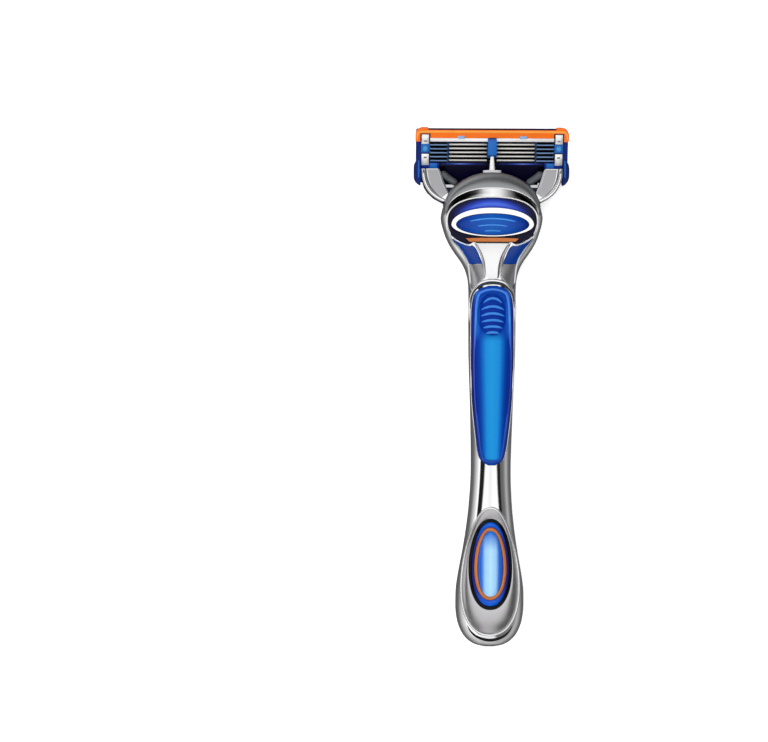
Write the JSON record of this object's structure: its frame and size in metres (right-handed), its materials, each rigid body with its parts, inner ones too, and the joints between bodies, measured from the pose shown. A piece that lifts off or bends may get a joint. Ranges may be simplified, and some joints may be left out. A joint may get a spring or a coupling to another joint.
{
  "type": "cartridge razor",
  "caption": "Wet shaving razor: chrome handle with soft blue grips, release button and a spring-returned pivoting blade cartridge on a two-armed yoke.",
  "frame": {"origin": "middle of the bottom of the razor's box, as it lies thumb side up", "axes": "+Y along the handle towards the cartridge, +Z out of the thumb side, +X across the cartridge"},
  "size_m": [0.043, 0.1421, 0.0188],
  "materials": {
    "chrome": "bright chrome plating",
    "satin_metal": "satin grey plating",
    "spring_steel": "drawn wire",
    "blade_steel": "ground and coated edges",
    "bent_metal": "bent strip",
    "blue_elastomer": "soft matt elastomer",
    "blue_gloss": "glossy moulded plastic",
    "navy_plastic": "moulded plastic",
    "orange_plastic": "moulded plastic",
    "white_plastic": "moulded acetal",
    "light_grey_plastic": "moulded plastic",
    "pale_blue": "smooth translucent plastic"
  },
  "bodies": {
    "handle": {"handle_frame": "chrome", "front_grip": "blue_elastomer", "thumb_pad": "blue_gloss", "rear_grip": "blue_elastomer", "neck_inlay_left": "blue_gloss", "neck_inlay_right": "blue_gloss", "butt_bezel": "satin_metal", "butt_inlay": "navy_plastic", "butt_ring": "orange_plastic", "butt_lens": "pale_blue", "dock_housing": "navy_plastic", "button_track": "blue_gloss", "accent_bar": "orange_plastic", "hub_dome": "chrome", "wing_panel_left": "satin_metal", "wing_panel_right": "satin_metal", "plunger_collar": "light_grey_plastic", "plunger_spring": "spring_steel", "ejector_spring": "spring_steel"},
    "button": {"button_cap": "blue_gloss", "button_ring": "chrome", "ejector_slide": "light_grey_plastic"},
    "plunger": {"plunger": "white_plastic"},
    "yoke": {"yoke_frame": "navy_plastic"},
    "cartridge": {"cartridge_housing": "navy_plastic", "trimmer_guard": "orange_plastic", "trimmer_blade": "blade_steel", "lubricating_strip": "pale_blue", "guard_strip": "blue_elastomer", "clip_left": "bent_metal", "clip_right": "bent_metal"},
    "blade_1": {"blade_1": "blade_steel", "blade_support_1": "bent_metal"},
    "blade_2": {"blade_2": "blade_steel", "blade_support_2": "bent_metal"},
    "blade_3": {"blade_3": "blade_steel", "blade_support_3": "bent_metal"},
    "blade_4": {"blade_4": "blade_steel", "blade_support_4": "bent_metal"},
    "blade_5": {"blade_5": "blade_steel", "blade_support_5": "bent_metal"}
  },
  "joints": [
    {"name": "release_button", "type": "slide", "parent": "handle", "child": "button", "axis": [0, 1, 0], "range_m": [0, 0.0036], "stiffness_N_per_m": 150, "deforming": ["ejector_spring"]},
    {"name": "yoke_release", "type": "slide", "parent": "handle", "child": "yoke", "axis": [0, 1, 0], "range_m": [0, 0.0036]},
    {"name": "cartridge_pivot", "type": "hinge", "parent": "yoke", "child": "cartridge", "pos_m": [0, 0.0591, 0.00601], "axis": [1, 0, 0], "range_deg": [0, 32], "stiffness_Nm_per_rad": 0.003},
    {"name": "plunger_slide", "type": "slide", "parent": "handle", "child": "plunger", "axis": [0, 1, 0], "range_m": [-0.0026, 0], "deforming": ["plunger_spring"]},
    {"name": "blade_1_float", "type": "slide", "parent": "cartridge", "child": "blade_1", "axis": [0, -0.309, 0.9511], "range_m": [0, 0.0003], "stiffness_N_per_m": 250},
    {"name": "blade_2_float", "type": "slide", "parent": "cartridge", "child": "blade_2", "axis": [0, -0.309, 0.9511], "range_m": [0, 0.0003], "stiffness_N_per_m": 250},
    {"name": "blade_3_float", "type": "slide", "parent": "cartridge", "child": "blade_3", "axis": [0, -0.309, 0.9511], "range_m": [0, 0.0003], "stiffness_N_per_m": 250},
    {"name": "blade_4_float", "type": "slide", "parent": "cartridge", "child": "blade_4", "axis": [0, -0.309, 0.9511], "range_m": [0, 0.0003], "stiffness_N_per_m": 250},
    {"name": "blade_5_float", "type": "slide", "parent": "cartridge", "child": "blade_5", "axis": [0, -0.309, 0.9511], "range_m": [0, 0.0003], "stiffness_N_per_m": 250}
  ],
  "couplings": [
    {"joint": "yoke_release", "follows": "release_button", "ratio": 1},
    {"joint": "plunger_slide", "follows": "cartridge_pivot", "m_per_rad": -0.0045}
  ]
}
